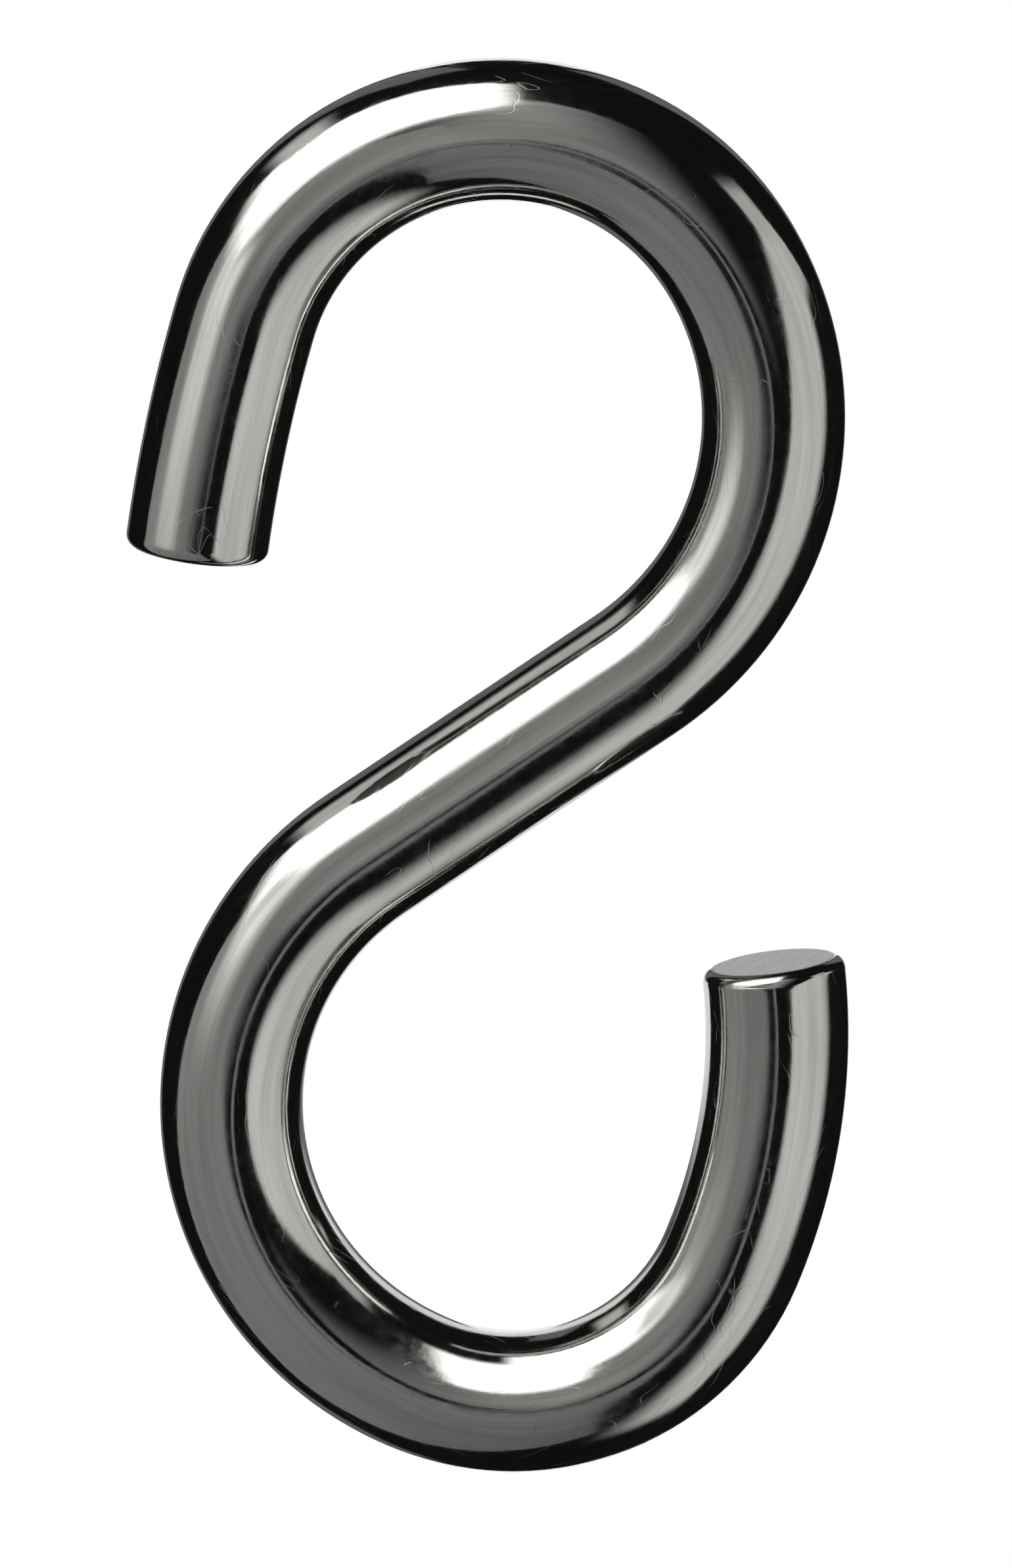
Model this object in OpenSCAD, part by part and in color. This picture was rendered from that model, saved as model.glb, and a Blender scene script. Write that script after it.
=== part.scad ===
// S hook: one length of round wire, bent into two open crooks that face opposite ways.
// Millimetres. The hook stands in the XZ plane, with Z up and the upper crook's mouth towards -X.
// The origin is the upper seat, the highest point inside the upper crook, where the hook hangs.

/* [Wire] */
// Diameter of the round wire
wire_d = 5; // [3:0.5:7]
// Radius that rounds off the edge of each cut end
end_round = 0.45; // [0.1:0.05:1]

/* [Shank] */
// Straight length between the two crooks
shank_l = 11.3; // [9:0.1:40]
// Slope of the shank from level, in degrees
shank_slope = 34.2; // [30:0.1:60]

/* [Upper crook] */
// Inside radius of the wide bend between the shank and the seat
upper_shank_r = 8.55; // [6:0.05:14]
// Inside radius of the closer bend over the seat
upper_seat_r = 6.75; // [5:0.05:12]
// Turn from the start of the closer bend to the seat, in degrees
upper_seat_turn = 58.5; // [20:0.5:80]
// Turn from the seat to the start of the leg, in degrees
upper_leg_start = 74; // [60:0.5:82]
// Inside radius of the slight bow along the leg
upper_leg_r = 54; // [30:1:90]
// Length of the leg
upper_leg_l = 8.5; // [4:0.1:10]

/* [Lower crook] */
// Inside radius of the wide bend between the shank and the seat
lower_shank_r = 8.3; // [6:0.05:14]
// Inside radius of the closer bend over the seat
lower_seat_r = 5.75; // [4.5:0.05:12]
// Turn from the start of the closer bend to the seat, in degrees
lower_seat_turn = 22; // [10:0.5:60]
// Turn from the seat to the start of the leg, in degrees
lower_leg_start = 67.5; // [55:0.5:80]
// Inside radius of the bow along the leg
lower_leg_r = 18.5; // [14:0.5:60]
// Length of the leg
lower_leg_l = 10.8; // [4:0.1:12]

/* [Hidden] */
$fn = 96;
wire_r = wire_d / 2;
// Both seats are level, so each crook turns by this much between the sloping shank and its seat
shank_to_seat = 180 - shank_slope;
// Each leg is drawn this much too long, and then cut off at its tip
spare_l = wire_r;
// Depth of the rounding across the wire: a little under its radius, so that it meets the wire's
// side at a slight edge
round_depth = 0.9 * end_round;

// Angle in degrees that a length of wire turns through on a bend of the given radius
function turn_of(length, radius) = length / radius * 180 / PI;

// Direction from the centre of a left-hand bend to the wire, where the wire heads the given way
function outward(heading) = [sin(heading), -cos(heading)];

// Centre of the bend that carries on from another at the given heading
function next_centre(centre, radius, next_radius, heading) =
    centre + (radius - next_radius) * outward(heading);

// Moves to a point in two steps, to the nearest hundredth and then the rest of the way,
// so that bends that follow each other meet to the last digit
module place(point) {
    nearest = [for (v = point) round(100 * v) / 100];
    translate(nearest)
        translate(point - nearest)
            children();
}

// Wire bent to the left round a centre, from one heading on through a turn
module bend(centre, radius, heading, turn) {
    place(centre)
        rotate_extrude(start = heading - 90, angle = turn)
            translate([radius, 0])
                circle(d = wire_d);
}

// What is cut away where the wire, along +X, ends at the origin: all beyond it, and its edge
module end_waste() {
    flat_r = wire_r - round_depth;
    rotate([0, 90, 0])
        rotate_extrude()
            difference() {
                translate([0, -end_round])
                    square([wire_d, end_round + wire_d]);
                translate([0, -end_round])
                    square([flat_r, end_round]);
                translate([flat_r, -end_round])
                    circle(r = end_round);
            }
}

// One crook, from the end of the shank at the origin, where the wire heads along +X, to its tip
module crook(shank_r, seat_r, seat_turn, leg_start, leg_r, leg_l) {
    shank_bend = shank_r + wire_r;
    seat_bend = seat_r + wire_r;
    leg_bend = leg_r + wire_r;
    closer_at = shank_to_seat - seat_turn;
    leg_at = shank_to_seat + leg_start;
    tip_at = leg_at + turn_of(leg_l, leg_bend);
    shank_centre = [0, shank_bend];
    seat_centre = next_centre(shank_centre, shank_bend, seat_bend, closer_at);
    leg_centre = next_centre(seat_centre, seat_bend, leg_bend, leg_at);

    bend(shank_centre, shank_bend, 0, closer_at);
    bend(seat_centre, seat_bend, closer_at, seat_turn + leg_start);
    difference() {
        bend(leg_centre, leg_bend, leg_at, turn_of(leg_l + spare_l, leg_bend));
        translate(leg_centre + leg_bend * outward(tip_at))
            rotate([0, 0, tip_at])
                end_waste();
    }
}

// Place of a crook's seat, seen from the end of the shank as crook() draws it
function seat_place(shank_r, seat_r, seat_turn) =
    next_centre([0, shank_r + wire_r], shank_r, seat_r, shank_to_seat - seat_turn)
        + seat_r * outward(shank_to_seat);

// The whole hook. It is drawn flat, with the shank along X from the upper crook to the lower,
// then turned to the shank's slope and stood up with the upper seat at the origin.
module s_hook() {
    upper_seat = [-shank_l, 0] - seat_place(upper_shank_r, upper_seat_r, upper_seat_turn);
    color("silver")
        rotate([90, 0, 0])
            rotate([0, 0, -shank_to_seat])
                translate(-upper_seat) {
                    crook(lower_shank_r, lower_seat_r, lower_seat_turn, lower_leg_start,
                          lower_leg_r, lower_leg_l);
                    rotate([0, -90, 0])
                        cylinder(d = wire_d, h = shank_l);
                    translate([-shank_l, 0])
                        rotate([0, 0, 180])
                            crook(upper_shank_r, upper_seat_r, upper_seat_turn, upper_leg_start,
                                  upper_leg_r, upper_leg_l);
                }
}

s_hook();
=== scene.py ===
# %% [markdown]
# # An S hook of bright wire
#
# The object is one length of round steel wire. It is cut off square, polished and plated bright, and bent
# into two open crooks that face opposite ways, so that a bar, a ring or a chain link sits in each of them.
# The solid model is loaded first, as a fixed frame. It gives the hook's true size and place, in metres.

# %% Load the solid model
import math

import bmesh
import bpy
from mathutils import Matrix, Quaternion, Vector


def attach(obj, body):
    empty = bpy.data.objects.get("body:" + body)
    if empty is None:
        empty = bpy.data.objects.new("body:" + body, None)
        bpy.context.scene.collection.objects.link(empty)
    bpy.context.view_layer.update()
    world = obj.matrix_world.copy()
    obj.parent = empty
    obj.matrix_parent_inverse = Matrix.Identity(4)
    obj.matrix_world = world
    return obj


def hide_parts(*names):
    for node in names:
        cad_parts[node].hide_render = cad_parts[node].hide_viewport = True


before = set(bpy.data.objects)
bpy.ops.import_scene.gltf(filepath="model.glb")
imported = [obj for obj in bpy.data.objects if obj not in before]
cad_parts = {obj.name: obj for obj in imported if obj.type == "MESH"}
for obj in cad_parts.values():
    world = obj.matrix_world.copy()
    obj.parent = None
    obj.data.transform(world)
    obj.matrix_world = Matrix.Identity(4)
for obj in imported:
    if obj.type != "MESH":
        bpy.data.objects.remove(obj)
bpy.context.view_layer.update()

# %% [markdown]
# ## Sizes
#
# These are the sizes that a wire bender would work from: the wire, the straight shank, and for each crook
# the inside radius of its bends and how far each one turns. They are the same sizes as the solid's, so the
# mesh lands on it without any fitting. The origin is the upper seat, the highest point inside the upper
# crook, and both seats are level.

# %% Sizes of the wire and its bends
mm = 0.001
wire_r = 2.5 * mm
end_round = 0.45 * mm
shank_l = 11.3 * mm
shank_slope = math.radians(34.2)

upper_shank_r = 8.55 * mm
upper_seat_r = 6.75 * mm
upper_seat_turn = math.radians(58.5)
upper_leg_start = math.radians(74)
upper_leg_r = 54 * mm
upper_leg_l = 8.5 * mm

lower_shank_r = 8.3 * mm
lower_seat_r = 5.75 * mm
lower_seat_turn = math.radians(22)
lower_leg_start = math.radians(67.5)
lower_leg_r = 18.5 * mm
lower_leg_l = 10.8 * mm

# %% [markdown]
# ## The middle line of the wire
#
# Seen from the front, the hook is a list of stretches, and each stretch has a radius and a length along the
# wire's middle line. A positive radius turns to the left, a negative one to the right, and None is straight.
# One run goes from the upper seat down the short leg to the upper tip. The other goes over the top, down the
# shank and round the lower crook. The last row of faces at each tip is a stretch of its own, a little longer
# than the rounding, so that a bevel has room there.

# %% List the stretches of both runs
shank_to_seat = math.pi - shank_slope
tip_row = 1.25 * end_round


def bend(inside_r, turn):
    """A bend of the wire: the signed radius of its middle line, and its length."""
    radius = inside_r + wire_r
    return math.copysign(radius, turn), radius * abs(turn)


def leg(inside_r, length):
    """The bowed leg at a tip, with the last row of faces on its own."""
    radius = inside_r + wire_r
    return [(radius, length - tip_row), (radius, tip_row)]


to_upper_tip = [bend(upper_seat_r, upper_leg_start), *leg(upper_leg_r, upper_leg_l)]
to_lower_tip = [
    bend(upper_seat_r, -upper_seat_turn),
    bend(upper_shank_r, upper_seat_turn - shank_to_seat),
    (None, shank_l),
    bend(lower_shank_r, shank_to_seat - lower_seat_turn),
    bend(lower_seat_r, lower_seat_turn + lower_leg_start),
    *leg(lower_leg_r, lower_leg_l),
]
wire_length = sum(length for radius, length in to_upper_tip + to_lower_tip)
print("length of wire in the hook:", round(wire_length / mm, 1), "mm")

# %% [markdown]
# ## The wire
#
# A bent wire could be a curve with a round bevel, or a straight tube on a Curve modifier. Spinning a ring of
# points about each bend's own centre is closer to how the hook is made, and it gives true arcs with a true
# round section. The first ring stands at the upper seat, across the wire.

# %% Stand one ring of the wire at the upper seat
ring_points = 96
seat_middle = Vector((0, 0, wire_r))

bpy.ops.object.select_all(action="DESELECT")
bpy.ops.mesh.primitive_circle_add(
    vertices=ring_points, radius=wire_r, location=seat_middle, rotation=(0, math.pi / 2, 0)
)
hook = bpy.context.object
hook.name = hook.data.name = "bright_wire_hook"
bpy.ops.object.transform_apply(location=True, rotation=True, scale=True)
bpy.ops.object.mode_set(mode="EDIT")
print("first ring has", len(hook.data.vertices), "points")

# %% [markdown]
# Each stretch starts where the last one ended. For a bend, the selected ring is spun about the centre of
# that bend. For the shank it is extruded straight on, row by row. Where each stretch lies is written down on
# the way, because the finish will need to know how far along the wire a point is.

# %% Carry the ring along both runs
ring_gap = 0.4 * mm
tolerance = 0.01 * mm
front_axis = (0, 1, 0)


def forward(heading):
    return Vector((math.cos(heading), 0, math.sin(heading)))


def leftward(heading):
    return Vector((-math.sin(heading), 0, math.cos(heading)))


def draw_wire(stretches, heading):
    """Carries the selected ring from the upper seat along a run, and returns where each stretch lies."""
    point = seat_middle.copy()
    along = 0.0
    placed = []
    for radius, length in stretches:
        placed.append((point.copy(), heading, radius, length, along))
        rows = max(1, round(length / ring_gap))
        if radius is None:
            for row in range(rows):
                step = forward(heading) * length / rows
                bpy.ops.mesh.extrude_region_move(TRANSFORM_OT_translate={"value": step})
            point += forward(heading) * length
        else:
            centre = point + radius * leftward(heading)
            turn = length / radius
            bpy.ops.mesh.spin(steps=rows, angle=turn, center=centre, axis=front_axis)
            heading += turn
            point = centre - radius * leftward(heading)
        along += length
    return placed


def select_first_ring():
    """Selects the ring at the upper seat again: the points at x = 0 on the upper crook."""
    mesh = bmesh.from_edit_mesh(hook.data)
    for vertex in mesh.verts:
        vertex.select_set(abs(vertex.co.x) < tolerance and vertex.co.z > -wire_r)
    mesh.select_flush(True)
    bmesh.update_edit_mesh(hook.data)


bpy.ops.mesh.select_all(action="SELECT")
upper_places = draw_wire(to_upper_tip, math.pi)
bpy.ops.mesh.select_all(action="DESELECT")
select_first_ring()
lower_places = draw_wire(to_lower_tip, 0.0)
print("rings carried along", len(upper_places) + len(lower_places), "stretches")

# %% [markdown]
# ## The cut ends
#
# The wire is cut off square and tumbled, which leaves a flat face with a rounded edge. Both open ends are
# filled, the edge of each face is bevelled, and a narrow inset keeps the middle of the face truly flat when
# the mesh is shaded smooth.

# %% Close and round both ends
round_rows = 8
flat_margin = 0.1 * mm
merge_gap = 0.001 * mm
smooth_below = math.radians(40)


def select_end_faces():
    """Selects the two flat faces at the tips: the only faces with a corner at every ring point."""
    bpy.ops.mesh.select_mode(type="FACE")
    bpy.ops.mesh.select_all(action="DESELECT")
    mesh = bmesh.from_edit_mesh(hook.data)
    for face in mesh.faces:
        face.select_set(len(face.verts) >= ring_points)
    bmesh.update_edit_mesh(hook.data)


bpy.ops.mesh.select_all(action="SELECT")
bpy.ops.mesh.fill_holes(sides=0)
select_end_faces()
bpy.ops.mesh.bevel(offset=end_round, segments=round_rows, affect="EDGES")
select_end_faces()
bpy.ops.mesh.inset(thickness=flat_margin)
bpy.ops.mesh.select_all(action="SELECT")
bpy.ops.mesh.remove_doubles(threshold=merge_gap)
bpy.ops.mesh.normals_make_consistent(inside=False)
bpy.ops.object.mode_set(mode="OBJECT")
bpy.ops.object.shade_smooth_by_angle(angle=smooth_below)
print("hook mesh:", len(hook.data.vertices), "points,", len(hook.data.polygons), "faces")

# %% [markdown]
# ## Where each point lay on the straight wire
#
# The wire was drawn through a die and polished while it was still straight, so its fine lines follow every
# bend. To let the finish follow them too, each point keeps the place that it had before bending: across the
# wire, across it the other way, and along it from the upper seat. A pattern made in that space has no seam.

# %% Keep the place on the straight wire as an attribute
def on_stretch(point, place):
    """How far along a stretch a point is, and how far to the left of its middle line."""
    start, heading, radius, length, along = place
    if radius is None:
        offset = point - start
        return offset.dot(forward(heading)), offset.dot(leftward(heading))
    spoke = point - (start + radius * leftward(heading))
    ahead = spoke.dot(forward(heading))
    outward = -spoke.dot(leftward(heading)) * math.copysign(1, radius)
    from_centre = math.copysign(math.hypot(ahead, outward), radius)
    return abs(radius) * math.atan2(ahead, outward), radius - from_centre


def straighten(point):
    """The place of a point of the hook on the straight wire."""
    for places, way in ((upper_places, -1), (lower_places, 1)):
        for place in places:
            ahead, left = on_stretch(point, place)
            start, heading, radius, length, along = place
            if -tolerance <= ahead <= length + tolerance and abs(left) <= wire_r + tolerance:
                return (way * left, point.y, way * (along + ahead))
    raise ValueError(f"no stretch of the wire holds {point}")


straight = [value for vertex in hook.data.vertices for value in straighten(vertex.co)]
attribute = hook.data.attributes.new("straight_wire", "FLOAT_VECTOR", "POINT")
attribute.data.foreach_set("vector", straight)
print("wire runs from", round(min(straight[2::3]) / mm, 1), "to", round(max(straight[2::3]) / mm, 1), "mm")

# %% Mark the cut ends
cut_face_r = wire_r - 0.8 * end_round
cut_face_depth = 0.05 * mm
upper_tip_along = -sum(length for radius, length in to_upper_tip)
lower_tip_along = sum(length for radius, length in to_lower_tip)
cut_end = []
for across, depth, along in zip(straight[0::3], straight[1::3], straight[2::3]):
    from_tip = min(along - upper_tip_along, lower_tip_along - along)
    on_cut_face = from_tip < cut_face_depth and math.hypot(across, depth) < cut_face_r
    cut_end.append(1.0 if on_cut_face else 0.0)
attribute = hook.data.attributes.new("cut_end", "FLOAT", "POINT")
attribute.data.foreach_set("value", cut_end)
print("points on the cut ends:", int(sum(cut_end)))

# %% [markdown]
# ## The bright finish
#
# The wire is drawn through a die, polished and plated, so it is a mirror with a history. Fine lines run along
# it, broader streaks of polish lie over them, the plating is not quite even, and handling has left a faint
# haze and a few hair scratches. A single smooth metal would look like plastic film. Here each of these is one
# noise, stretched along the straight wire to the width and length that it has on the metal, and sent where it
# belongs: relief into the normal, haze into the roughness, and streaks into the colour.

# %% Helpers to build shader nodes
def add_node(tree, kind, **settings):
    """Adds a node, and sets its properties and its unlinked inputs by name."""
    node = tree.nodes.new(kind)
    for name, value in settings.items():
        if name in node.bl_rna.properties:
            setattr(node, name, value)
        else:
            node.inputs[name].default_value = value
    return node


def new_material(name):
    """A material with an empty node tree but for its output node."""
    material = bpy.data.materials.new(name)
    material.use_nodes = True
    material.node_tree.nodes.clear()
    return material, material.node_tree, material.node_tree.nodes.new("ShaderNodeOutputMaterial")


def plug(tree, value, socket):
    """Links a socket to an input, or sets a number on it."""
    if isinstance(value, bpy.types.NodeSocket):
        tree.links.new(value, socket)
    else:
        socket.default_value = value


def combine(tree, operation, first, second=0.0):
    """A Math node on one or two values."""
    node = add_node(tree, "ShaderNodeMath", operation=operation)
    plug(tree, first, node.inputs[0])
    plug(tree, second, node.inputs[1])
    return node.outputs["Value"]


def remap(tree, value, before, after, interpolation="LINEAR"):
    """Maps one pair of values to another pair, and holds the result between them."""
    node = add_node(tree, "ShaderNodeMapRange", interpolation_type=interpolation)
    plug(tree, value, node.inputs["Value"])
    plug(tree, before[0], node.inputs["From Min"])
    plug(tree, before[1], node.inputs["From Max"])
    plug(tree, after[0], node.inputs["To Min"])
    plug(tree, after[1], node.inputs["To Max"])
    return node.outputs["Result"]


# %% [markdown]
# The pattern of each layer is noise on the straight wire. Stretched noise gives streaks of the wanted width
# and length. A thin band round the middle value of such a noise gives hair lines that wander, end and cross
# as scratches do, and a broader noise over them leaves most of the wire clean.

# %% Patterns on the straight wire
bright, tree, output = new_material("bright_wire")
straight_place = add_node(tree, "ShaderNodeAttribute", attribute_name="straight_wire").outputs["Vector"]


def grain(tree, size, detail, turn=(0, 0, 0)):
    """Noise with grains of a size across the wire, across it the other way and along it."""
    mapping = add_node(tree, "ShaderNodeMapping", vector_type="TEXTURE", Rotation=turn, Scale=size)
    noise = add_node(tree, "ShaderNodeTexNoise", Scale=1.0, Detail=detail, Roughness=0.6)
    tree.links.new(straight_place, mapping.inputs["Vector"])
    tree.links.new(mapping.outputs["Vector"], noise.inputs["Vector"])
    return noise.outputs["Fac"]


def streaks(tree, width, length, detail, turn=(0, 0, 0)):
    """Streaks along the wire."""
    return grain(tree, (width, width, length), detail, turn)


def hair_scratches(tree, turn):
    """A mask of thin lines that lie at an angle to the wire."""
    from_middle = combine(tree, "SUBTRACT", streaks(tree, 0.55 * mm, 16 * mm, 0, turn), 0.5)
    line = remap(tree, combine(tree, "ABSOLUTE", from_middle), (0.004, 0.008), (1, 0))
    patch = remap(tree, streaks(tree, 2.2 * mm, 3.4 * mm, 2, turn), (0.54, 0.62), (0, 1))
    return combine(tree, "MULTIPLY", line, patch)


die_lines = streaks(tree, 0.16 * mm, 9 * mm, 3)
polish_streaks = streaks(tree, 0.38 * mm, 8 * mm, 2)
plating_waves = streaks(tree, 2.6 * mm, 4 * mm, 1)
plating_grain = streaks(tree, 0.3 * mm, 0.45 * mm, 2)
haze = streaks(tree, 1.8 * mm, 3.5 * mm, 5)
first_scratches = hair_scratches(tree, (0.3, 0.2, 0))
scratches = combine(tree, "MAXIMUM", first_scratches, hair_scratches(tree, (-0.25, 0.35, 0.4)))
print("patterns on the wire use", len(tree.nodes), "nodes")

# %% [markdown]
# The cut ends are not polished. A cropping blade leaves fine lines straight across the face, and the broken
# grain is duller than the side of the wire. The mask from the mesh says where this holds.

# %% Lines of the cropping blade
cut_face = add_node(tree, "ShaderNodeAttribute", attribute_name="cut_end").outputs["Fac"]
blade_lines = grain(tree, (0.09 * mm, 2.4 * mm, 1), 4, (0, 0, 0.35))

# %% [markdown]
# Streaks change the bright side of the wire by a few parts in a hundred. The cut face is bare steel, duller
# than the plating, and its colour is darker still as painted shade, which dims what the face reflects. The
# roughness starts near a mirror's, and haze, the grain of the plating, scratches and the cut face add to it.

# %% Colour
dark_streak = (0.655, 0.64, 0.61, 1)
bright_streak = (0.90, 0.882, 0.845, 1)
# The two cut colours are the cut steel's own tone, darkened further as painted shade that dims what the cut
# face reflects.
dark_cut_with_shade = (0.25, 0.245, 0.235, 1)
bright_cut_with_shade = (0.43, 0.42, 0.405, 1)


def ramp(tree, value, first_colour, last_colour):
    """A colour that runs from one to another as a value runs from 0 to 1."""
    node = add_node(tree, "ShaderNodeValToRGB")
    node.color_ramp.elements[0].color = first_colour
    node.color_ramp.elements[1].color = last_colour
    tree.links.new(value, node.inputs["Fac"])
    return node.outputs["Color"]


metal = add_node(tree, "ShaderNodeBsdfPrincipled", Metallic=1.0)
broad_tone = remap(tree, polish_streaks, (0.36, 0.64), (0, 0.6))
fine_tone = remap(tree, die_lines, (0.34, 0.66), (0, 0.4))
side_colour = ramp(tree, combine(tree, "ADD", broad_tone, fine_tone), dark_streak, bright_streak)
shaded_cut_colour = ramp(tree, remap(tree, blade_lines, (0.3, 0.7), (0, 1)), dark_cut_with_shade, bright_cut_with_shade)
colour = add_node(tree, "ShaderNodeMix", data_type="RGBA")
tree.links.new(cut_face, colour.inputs[0])
tree.links.new(side_colour, colour.inputs[6])
tree.links.new(shaded_cut_colour, colour.inputs[7])
tree.links.new(colour.outputs[2], metal.inputs["Base Color"])
print("the side's colour runs from", dark_streak[:3], "to", bright_streak[:3])

# %% Roughness
hazy_roughness = remap(tree, haze, (0.35, 0.7), (0.035, 0.1))
grain_roughness = remap(tree, plating_grain, (0.35, 0.7), (0, 0.05))
side_roughness = combine(tree, "ADD", hazy_roughness, grain_roughness)
marked_roughness = combine(tree, "MAXIMUM", side_roughness, combine(tree, "MULTIPLY", scratches, 0.22))
cut_roughness = combine(tree, "MULTIPLY", cut_face, remap(tree, blade_lines, (0.3, 0.7), (0.24, 0.36)))
tree.links.new(combine(tree, "MAXIMUM", marked_roughness, cut_roughness), metal.inputs["Roughness"])
print("finish so far has", len(tree.nodes), "nodes")

# %% [markdown]
# All relief here is a few thousandths of a millimetre high, far too fine for the mesh. Five Bump nodes follow
# one another, so each layer keeps its own height: the broad waves of the plating, the die lines, the grain of
# the plating, the scratches as fine grooves, and the lines across the cut faces.

# %% Relief
micron = 1e-6


def relief(tree, height, distance, normal=None):
    """A layer of relief of a given height, on top of the layer before it."""
    bump = add_node(tree, "ShaderNodeBump", Strength=1.0, Distance=distance)
    tree.links.new(height, bump.inputs["Height"])
    if normal:
        tree.links.new(normal, bump.inputs["Normal"])
    return bump.outputs["Normal"]


normal = relief(tree, plating_waves, 8 * micron)
normal = relief(tree, die_lines, 1.6 * micron, normal)
normal = relief(tree, plating_grain, 1.2 * micron, normal)
normal = relief(tree, combine(tree, "SUBTRACT", 1.0, scratches), 1.0 * micron, normal)
normal = relief(tree, combine(tree, "MULTIPLY", cut_face, blade_lines), 5 * micron, normal)
tree.links.new(normal, metal.inputs["Normal"])
tree.links.new(metal.outputs["BSDF"], output.inputs["Surface"])
hook.data.materials.clear()
hook.data.materials.append(bright)
print("finish:", bright.name, "with", len(tree.nodes), "nodes")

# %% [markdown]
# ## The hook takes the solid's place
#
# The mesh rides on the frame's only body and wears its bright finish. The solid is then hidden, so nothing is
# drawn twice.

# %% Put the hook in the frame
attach(hook, "root")
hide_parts("s_hook")

# %% [markdown]
# ## The camera
#
# The picture is taken from straight in front and a little above, through a long lens: the cut face of the
# lower tip just shows, and the wire keeps the same thickness from top to bottom. The scale of the picture and
# the place of the upper seat in it are enough to place the camera.

# %% Camera
picture_w = 1540
picture_h = 2387
pixels_per_metre = 43604
seat_pixel_x = 761.5
seat_pixel_y = 307.1
camera_rise = math.radians(11)
lens = 900
sensor = 36

view_right = (picture_w / 2 - seat_pixel_x) / pixels_per_metre
view_drop = (picture_h / 2 - seat_pixel_y) / pixels_per_metre / math.cos(camera_rise)
view_middle = Vector((view_right, 0, -view_drop))
towards_camera = Vector((0, -math.cos(camera_rise), math.sin(camera_rise)))
camera_distance = picture_h / pixels_per_metre * lens / sensor

camera_data = bpy.data.cameras.new("camera")
camera_data.lens = lens
camera_data.sensor_width = sensor
camera_data.clip_start = 0.01
camera = bpy.data.objects.new("camera", camera_data)
camera.location = view_middle + towards_camera * camera_distance
camera.rotation_mode = "QUATERNION"
camera.rotation_quaternion = towards_camera.to_track_quat("Z", "Y")
bpy.context.scene.collection.objects.link(camera)
bpy.context.scene.camera = camera
print("camera stands", round(camera_distance, 3), "m away")

# %% [markdown]
# ## The white studio
#
# The hook hangs in front of plain white. The world is white for rays from the camera, from a reflection or
# through glass, and weaker as a light. The floor far below is pale paint that keeps the hook's soft shadow,
# and for the same rays most of it is plain white.

# %% White world
def seen_directly(tree):
    """1 where a ray comes from the camera, a reflection or glass, and 0 for the light on matt surfaces."""
    path = add_node(tree, "ShaderNodeLightPath")
    seen = combine(tree, "MAXIMUM", path.outputs["Is Camera Ray"], path.outputs["Is Glossy Ray"])
    return combine(tree, "MAXIMUM", seen, path.outputs["Is Transmission Ray"])


world_light = 0.65
world = bpy.data.worlds.new("white_studio")
bpy.context.scene.world = world
world.use_nodes = True
tree = world.node_tree
tree.nodes.clear()
world_output = tree.nodes.new("ShaderNodeOutputWorld")
background = add_node(tree, "ShaderNodeBackground", Color=(1, 1, 1, 1))
tree.links.new(remap(tree, seen_directly(tree), (0, 1), (world_light, 1)), background.inputs["Strength"])
tree.links.new(background.outputs["Background"], world_output.inputs["Surface"])

# %% Pale floor
floor_z = -1.2
floor_r = 12
floor_white = 0.8

bpy.ops.object.select_all(action="DESELECT")
bpy.ops.mesh.primitive_circle_add(vertices=64, radius=floor_r, fill_type="NGON", location=(0, 0, floor_z))
floor = bpy.context.object
floor.name = "floor"
pale_floor, tree, output = new_material("pale_floor")
matt = add_node(tree, "ShaderNodeBsdfDiffuse", Color=(0.93, 0.93, 0.93, 1))
white = add_node(tree, "ShaderNodeEmission", Color=(1, 1, 1, 1), Strength=1.0)
floor_mix = add_node(tree, "ShaderNodeMixShader")
tree.links.new(combine(tree, "MULTIPLY", seen_directly(tree), floor_white), floor_mix.inputs["Fac"])
tree.links.new(matt.outputs["BSDF"], floor_mix.inputs[1])
tree.links.new(white.outputs["Emission"], floor_mix.inputs[2])
tree.links.new(floor_mix.outputs["Shader"], output.inputs["Surface"])
floor.data.materials.append(pale_floor)
print("floor lies", -floor_z, "m below the seat")

# %% [markdown]
# ## What the metal sees
#
# A mirror has no look of its own, it shows the room. A photographer who lights bright wire hangs it in a dark
# tent, so that its edges stay dark against white, and puts cards and softboxes in there, one for each light
# band along the wire. The tent has a tall door behind the hook, where the white background shows in the rims,
# in the cut face and down the middle of the hook's back. Only reflections see the tent and the cards, and
# they cast no shadow on the floor.

# %% Dark tent
tent_middle = Vector((0, 0, -0.02))
tent_r = 1.05
door_half_width = math.radians(9)
door_low = math.radians(-32)
door_high = math.radians(24)


def direction(azimuth, elevation):
    """A direction from the hook: degrees to the right of the camera's side, and degrees up."""
    a = math.radians(azimuth)
    e = math.radians(elevation)
    return Vector((math.sin(a) * math.cos(e), -math.cos(a) * math.cos(e), math.sin(e)))


def only_in_reflections(thing):
    """Marks a thing as stage that neither the camera nor the floor can see."""
    thing.visible_camera = False
    thing.visible_diffuse = False
    thing.visible_shadow = False


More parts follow.
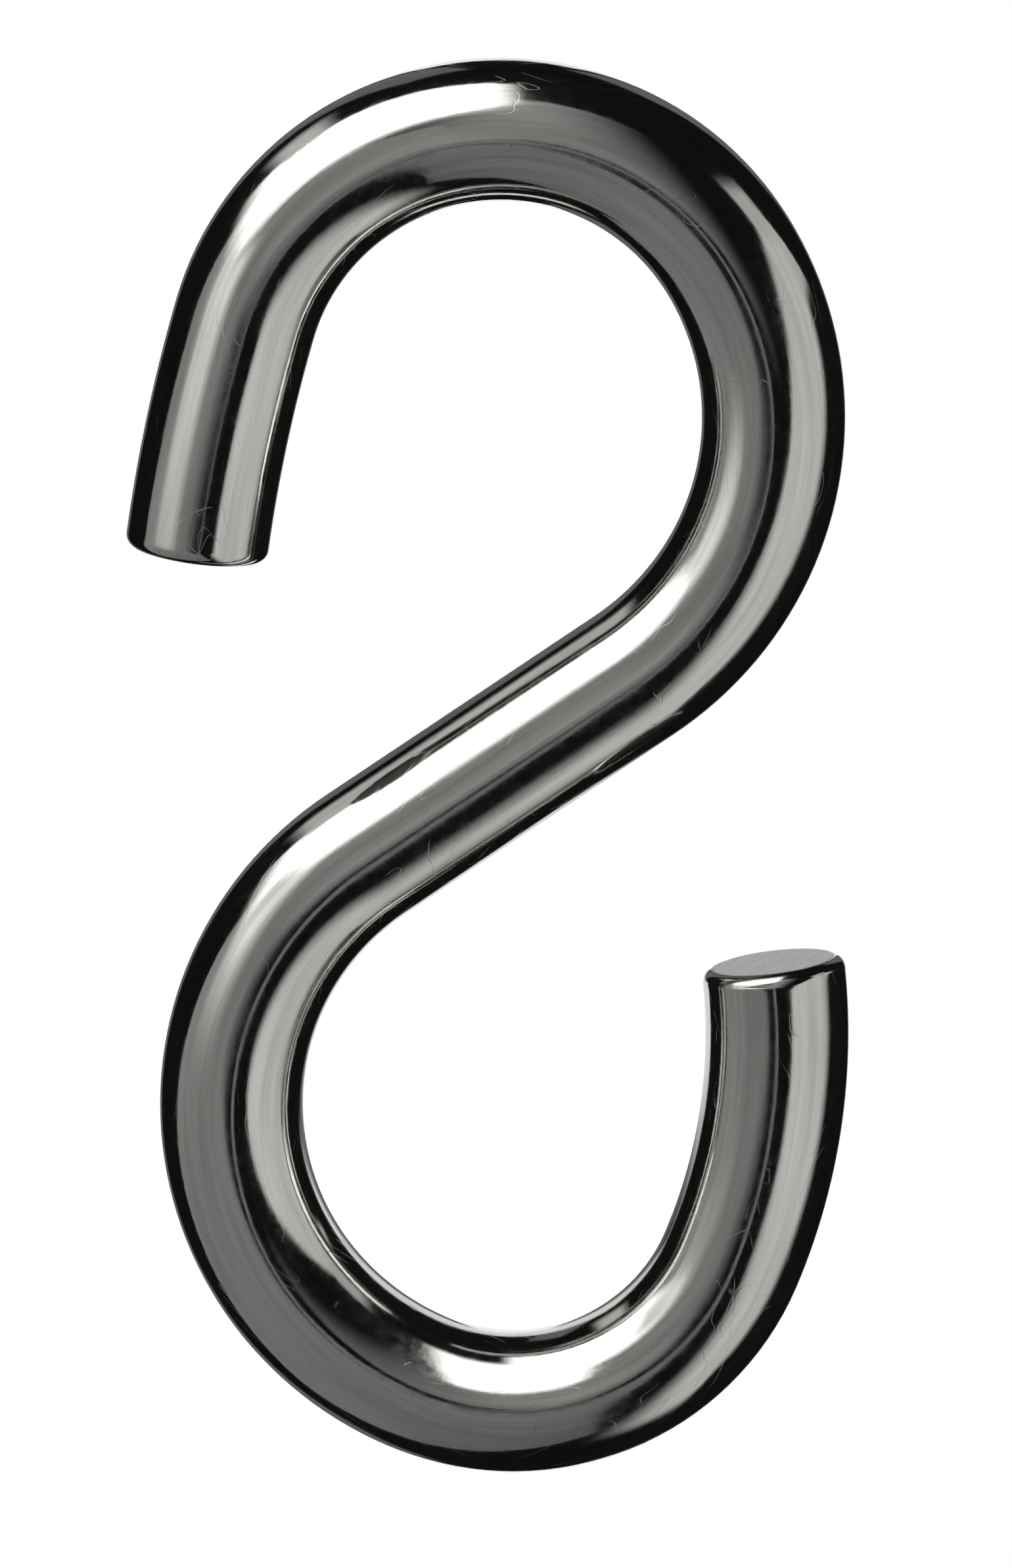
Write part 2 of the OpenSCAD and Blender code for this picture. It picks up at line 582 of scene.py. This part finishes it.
bpy.ops.object.select_all(action="DESELECT")
bpy.ops.mesh.primitive_uv_sphere_add(segments=96, ring_count=48, radius=tent_r, location=tent_middle)
tent = bpy.context.object
tent.name = "dark_tent"
only_in_reflections(tent)
bpy.ops.object.mode_set(mode="EDIT")
bpy.ops.mesh.select_mode(type="FACE")
bpy.ops.mesh.select_all(action="DESELECT")
mesh = bmesh.from_edit_mesh(tent.data)
for face in mesh.faces:
    outward = face.calc_center_median().normalized()
    aside = math.atan2(outward.x, outward.y)
    rise = math.asin(outward.z)
    face.select_set(abs(aside) < door_half_width and door_low < rise < door_high)
bmesh.update_edit_mesh(tent.data)
bpy.ops.mesh.delete(type="FACE")
bpy.ops.object.mode_set(mode="OBJECT")
dark_cloth, tree, output = new_material("dark_cloth")
cloth = add_node(tree, "ShaderNodeEmission", Color=(1, 1, 1, 1), Strength=0.006)
tree.links.new(cloth.outputs["Emission"], output.inputs["Surface"])
tent.data.materials.append(dark_cloth)
print("tent has", len(tent.data.polygons), "faces left")

# %% [markdown]
# The edge of a card is never quite sharp in bent metal, and a softbox fades towards its rim. All cards share
# one node group for this. It takes a place on the card, measured from its middle, and the width of the fade
# along each of the four edges, and gives 1 inside and 0 at the edge.

# %% Soft edges of a card as a node group
card_edge = bpy.data.node_groups.new("card_edge", "ShaderNodeTree")
card_edge.interface.new_socket("Place", in_out="INPUT", socket_type="NodeSocketVector")
for name in ("Half Width", "Half Height", "Left Fade", "Right Fade", "Low Fade", "High Fade"):
    card_edge.interface.new_socket(name, in_out="INPUT", socket_type="NodeSocketFloat")
card_edge.interface.new_socket("Mask", in_out="OUTPUT", socket_type="NodeSocketFloat")
given = card_edge.nodes.new("NodeGroupInput").outputs
result = card_edge.nodes.new("NodeGroupOutput").inputs
place = add_node(card_edge, "ShaderNodeSeparateXYZ")
card_edge.links.new(given["Place"], place.inputs["Vector"])
edges = (
    ("ADD", "Half Width", "X", "Left Fade"),
    ("SUBTRACT", "Half Width", "X", "Right Fade"),
    ("ADD", "Half Height", "Y", "Low Fade"),
    ("SUBTRACT", "Half Height", "Y", "High Fade"),
)
mask = 1.0
for operation, half, axis, fade in edges:
    from_edge = combine(card_edge, operation, given[half], place.outputs[axis])
    inside = remap(card_edge, from_edge, (0, given[fade]), (0, 1), "SMOOTHSTEP")
    mask = combine(card_edge, "MULTIPLY", inside, mask)
card_edge.links.new(mask, result["Mask"])
print("card edge group has", len(card_edge.nodes), "nodes")

# %% [markdown]
# A card is a plane that glows on the side of its back, evenly or less to one side, as a card does that is lit
# from one edge. Where it fades out, what hangs behind it shows through. Most cards face the hook, and are
# placed by their direction from it, their distance and their roll.

# %% Make and hang a card
def glowing_card(name, width, height, tone, fade, slope):
    """The material of a card: a glow inside its soft edges, and clear outside them and from in front."""
    paint, tree, output = new_material(name)
    place = add_node(tree, "ShaderNodeTexCoord").outputs["Object"]
    edge = add_node(tree, "ShaderNodeGroup", node_tree=card_edge)
    tree.links.new(place, edge.inputs["Place"])
    for socket, number in zip(list(edge.inputs)[1:], (width / 2, height / 2, *fade)):
        socket.default_value = number
    along_slope = add_node(tree, "ShaderNodeVectorMath", operation="DOT_PRODUCT")
    along_slope.inputs[1].default_value = (*slope, 0)
    tree.links.new(place, along_slope.inputs[0])
    strength = combine(tree, "MAXIMUM", combine(tree, "ADD", along_slope.outputs["Value"], tone), 0.0)
    glow = add_node(tree, "ShaderNodeEmission", Color=(1, 1, 1, 1))
    tree.links.new(strength, glow.inputs["Strength"])
    mix = add_node(tree, "ShaderNodeMixShader")
    behind = add_node(tree, "ShaderNodeNewGeometry").outputs["Backfacing"]
    tree.links.new(combine(tree, "MULTIPLY", edge.outputs["Mask"], behind), mix.inputs["Fac"])
    tree.links.new(add_node(tree, "ShaderNodeBsdfTransparent").outputs["BSDF"], mix.inputs[1])
    tree.links.new(glow.outputs["Emission"], mix.inputs[2])
    tree.links.new(mix.outputs["Shader"], output.inputs["Surface"])
    return paint


def make_card(name, place, turn, width, height, tone, fade, slope=(0, 0)):
    """Makes a card at a place, with its fades left, right, low and high and its change of tone per metre."""
    bpy.ops.object.select_all(action="DESELECT")
    bpy.ops.mesh.primitive_plane_add(size=1)
    card = bpy.context.object
    card.name = name
    card.scale = (width, height, 1)
    bpy.ops.object.transform_apply(location=False, rotation=False, scale=True)
    card.location = place
    card.rotation_mode = "QUATERNION"
    card.rotation_quaternion = turn
    only_in_reflections(card)
    card.data.materials.append(glowing_card(name, width, height, tone, fade, slope))
    print(name, "of", width, "by", height, "m hangs at", [round(v, 3) for v in place])


def hang_card(name, azimuth, elevation, distance, roll, **look):
    """Hangs a card that faces the hook."""
    facing = direction(azimuth, elevation)
    turn = facing.to_track_quat("Z", "Y") @ Quaternion((0, 0, 1), math.radians(roll))
    make_card(name, tent_middle + facing * distance, turn, **look)


# %% [markdown]
# The cards in front make the bands of the picture. A grey card on the left gives the broad grey band, a pale
# card on the right the light one, and the dark gap between them is the black line along the middle, which a
# dark flag makes a little wider on the upright legs. A second flag cuts the pale card off on the right, so
# that the outer edges of the right-hand legs stay black.

# %% Hang the cards for the grey and the light band
hang_card(
    "grey_card", azimuth=-48, elevation=-23, distance=0.43, width=1.0, height=1.33, roll=-4,
    tone=0.195, fade=(0.018, 0.018, 0.02, 0.02), slope=(-0.07, 0.09),
)
hang_card(
    "dark_flag", azimuth=-13, elevation=-8, distance=0.41, width=0.09, height=0.2, roll=65,
    tone=0.01, fade=(0.025, 0.025, 0.017, 0.17),
)
hang_card(
    "pale_card", azimuth=76.5, elevation=-21, distance=0.31, width=0.76, height=0.58, roll=45,
    tone=0.52, fade=(0.167, 0.016, 0.15, 0.047), slope=(-0.15, 0.15),
)
hang_card(
    "right_flag", azimuth=124, elevation=-25, distance=0.24, width=0.4, height=0.42, roll=0,
    tone=0.006, fade=(0.08, 0.04, 0.03, 0.03),
)

# %% [markdown]
# The softbox above on the left gives the white band over the top of each bend, a second one behind it the
# grey rim along the top of the shank, and a small one close to the hook the light stripe on the upright legs.
# A card on the right lights the edge of the upper crook's shoulder, and the shoulder card keeps the front of
# the bends from going quite black.

# %% Hang the softboxes and the cards for the shoulders
hang_card(
    "softbox", azimuth=-54, elevation=50, distance=0.4, width=0.6, height=0.47, roll=46,
    tone=1.65, fade=(0.14, 0.08, 0.095, 0.03),
)
hang_card(
    "second_softbox", azimuth=-120, elevation=43, distance=0.38, width=0.25, height=0.12, roll=25,
    tone=0.5, fade=(0.09, 0.03, 0.04, 0.04),
)
hang_card(
    "right_card", azimuth=82, elevation=31, distance=0.36, width=0.2, height=0.12, roll=0,
    tone=0.42, fade=(0.04, 0.06, 0.04, 0.04),
)
hang_card(
    "small_softbox", azimuth=-58, elevation=7.5, distance=0.079, width=0.062, height=0.065, roll=-10,
    tone=0.8, fade=(0.017, 0.025, 0.053, 0.011),
)
hang_card(
    "shoulder_card", azimuth=4, elevation=28, distance=0.45, width=0.44, height=0.59, roll=-12,
    tone=0.3, fade=(0.238, 0.28, 0.045, 0.018),
)

# %% [markdown]
# The long white stroke in the bottom of the lower crook comes from a small card that lies level in front of
# the shank. Only the crook below it can see its underside.

# %% Lay a small card in front of the shank
make_card(
    "level_card", Vector((0, -0.0235, -0.027)), Quaternion(), width=0.0118, height=0.037,
    tone=1.5, fade=(0.002, 0.0015, 0.012, 0.002),
)

# %% [markdown]
# The inner edge of the lower crook is lighter than the outer one. A small card stands close behind the hook
# for this, where from the front little else than that edge can see it.

# %% Stand a small card behind the lower crook
facing_back = Vector((0, 1, 0)).to_track_quat("Z", "Y")
make_card(
    "rim_card", Vector((0.0005, 0.015, -0.0315)), facing_back, width=0.019, height=0.01,
    tone=0.8, fade=(0.003, 0.003, 0.003, 0.003),
)

# %% [markdown]
# The back of the hook would see little but the dark tent, so two dim cards hang there, on both sides of the
# door. From the front they show only in the last sliver of the rims.

# %% Hang the cards behind
hang_card(
    "left_back_card", azimuth=-160, elevation=4, distance=0.5, width=0.2, height=1.3, roll=0,
    tone=0.13, fade=(0.02, 0.04, 0.1, 0.1),
)
hang_card(
    "right_back_card", azimuth=160, elevation=-8, distance=0.5, width=0.2, height=1.1, roll=0,
    tone=0.13, fade=(0.04, 0.02, 0.1, 0.1),
)

# %% [markdown]
# ## The lamp and the last lines
#
# One broad lamp from the softbox's side lights the floor at a plain level, so that it keeps the hook's
# shadow.
# The metal doesn't see this lamp, only the softbox. Colours go to the picture as they are.

# %% Lamp for the floor
lamp_data = bpy.data.lights.new("soft_lamp", "SUN")
lamp_data.energy = 1.6
lamp_data.angle = math.radians(40)
lamp = bpy.data.objects.new("soft_lamp", lamp_data)
lamp.rotation_mode = "QUATERNION"
lamp.rotation_quaternion = direction(-44, 56).to_track_quat("Z", "Y")
lamp.visible_glossy = False
bpy.context.scene.collection.objects.link(lamp)
bpy.context.scene.view_settings.view_transform = "Standard"
